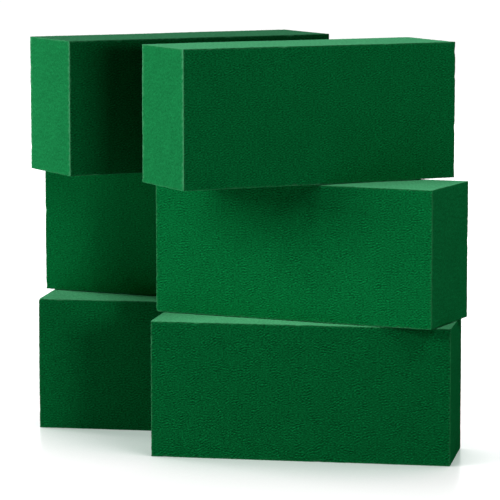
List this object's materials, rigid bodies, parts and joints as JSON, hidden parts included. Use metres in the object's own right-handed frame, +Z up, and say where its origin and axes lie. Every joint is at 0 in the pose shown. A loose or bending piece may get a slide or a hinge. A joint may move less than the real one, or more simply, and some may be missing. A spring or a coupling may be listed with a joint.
{
  "type": "floral foam brick",
  "caption": "Loose rectangular blocks of dark green wet floral foam standing in two stacks; each soaks up water and holds the cut stems that are pushed into it.",
  "frame": {"origin": "middle of the whole set's box in plan, on the surface that the two bottom bricks stand on", "axes": "+Z up; -Y towards the viewer, where the front stack's broad faces look; +X to the viewer's right"},
  "size_m": [0.3406, 0.3044, 0.3154],
  "materials": {
    "foam": "dry, dusty open-cell foam, fully matte"
  },
  "bodies": {
    "front_bottom_brick": {"front_bottom_brick": "foam"},
    "front_middle_brick": {"front_middle_brick": "foam"},
    "front_top_brick": {"front_top_brick": "foam"},
    "rear_bottom_brick": {"rear_bottom_brick": "foam"},
    "rear_middle_brick": {"rear_middle_brick": "foam"},
    "rear_top_brick": {"rear_top_brick": "foam"}
  },
  "joints": [
    {"name": "front_middle_pull", "type": "slide", "parent": "front_bottom_brick", "child": "front_middle_brick", "axis": [-0.4226, -0.9063, 0], "range_m": [0, 0.13]},
    {"name": "front_top_lift", "type": "slide", "parent": "front_middle_brick", "child": "front_top_brick", "axis": [0, 0, 1], "range_m": [0, 0.15]},
    {"name": "rear_bottom_pull", "type": "slide", "parent": "front_bottom_brick", "child": "rear_bottom_brick", "axis": [0.165, 0.9863, 0], "range_m": [0, 0.13]},
    {"name": "rear_middle_lift", "type": "slide", "parent": "rear_bottom_brick", "child": "rear_middle_brick", "axis": [0, 0, 1], "range_m": [0, 0.15]},
    {"name": "rear_top_lift", "type": "slide", "parent": "rear_middle_brick", "child": "rear_top_brick", "axis": [0, 0, 1], "range_m": [0, 0.15]}
  ]
}
